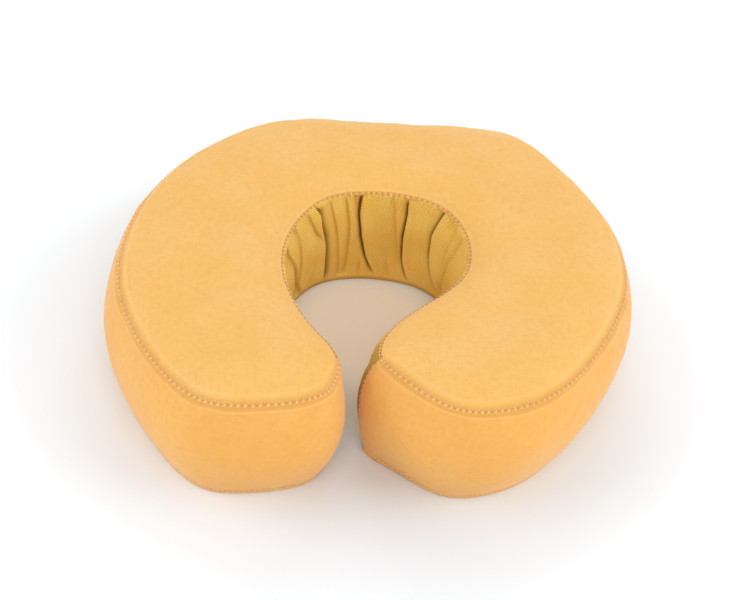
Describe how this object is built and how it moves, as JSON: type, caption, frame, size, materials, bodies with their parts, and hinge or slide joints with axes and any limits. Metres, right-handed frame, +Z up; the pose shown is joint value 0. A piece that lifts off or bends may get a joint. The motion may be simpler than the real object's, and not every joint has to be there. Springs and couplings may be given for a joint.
{
  "type": "face cradle cushion",
  "caption": "Horseshoe face cradle cushion: two foam layers in an amber microfibre cover with topstitched seams, a gathered mesh face hole and a zipped, loop-taped underside.",
  "frame": {"origin": "on the resting plane, below the middle of the cushion's widest outline", "axes": "+Z up, out of the face the head lies on; +Y to the closed crown end, -Y to the open horns; +X to the right seen from the horns"},
  "size_m": [0.3007, 0.284, 0.0776],
  "materials": {
    "microfibre": "brushed amber microfibre, matt with a faint nap",
    "gathered_mesh": "amber pique mesh, gathered",
    "base_foam": "firm open-cell foam",
    "comfort_foam": "soft visco foam",
    "seam_thread": "pale polyester thread",
    "loop_pile": "napped loop tape",
    "zip_tape": "woven tape",
    "nylon_coil": "nylon coil",
    "zinc": "plated zinc"
  },
  "bodies": {
    "cushion": {"cover_top_panel": "microfibre", "cover_outer_band": "microfibre", "cover_inner_band": "gathered_mesh", "cover_bottom_panel_front": "microfibre", "cover_bottom_panel_rear": "microfibre", "foam_base_layer": "base_foam", "foam_comfort_layer": "comfort_foam", "zip_tape_front": "zip_tape", "zip_tape_rear": "zip_tape", "zip_coil_front": "nylon_coil", "zip_coil_rear": "nylon_coil", "zip_stop_left": "zinc", "zip_stop_right": "zinc", "loop_strip_left": "loop_pile", "loop_strip_right": "loop_pile", "loop_strip_crown": "loop_pile", "thread_top_outer_seam": "seam_thread", "thread_hole_seam": "seam_thread", "thread_bottom_outer_seam": "seam_thread", "thread_bottom_inner_seam": "seam_thread", "thread_left_corner_seam": "seam_thread", "thread_right_corner_seam": "seam_thread", "thread_zip_front": "seam_thread", "thread_zip_rear": "seam_thread", "thread_loop_left": "seam_thread", "thread_loop_right": "seam_thread", "thread_loop_crown": "seam_thread"},
    "zip_slider": {"zip_slider": "zinc"},
    "zip_pull": {"zip_pull": "zinc"}
  },
  "joints": [
    {"name": "zip_slider_travel", "type": "slide", "parent": "cushion", "child": "zip_slider", "axis": [1, 0, 0], "range_m": [-0.122, 0]},
    {"name": "zip_pull_flip", "type": "hinge", "parent": "zip_slider", "child": "zip_pull", "pos_m": [0.061, 0.095, 0.00145], "axis": [0, -1, 0], "range_deg": [0, 150]}
  ]
}
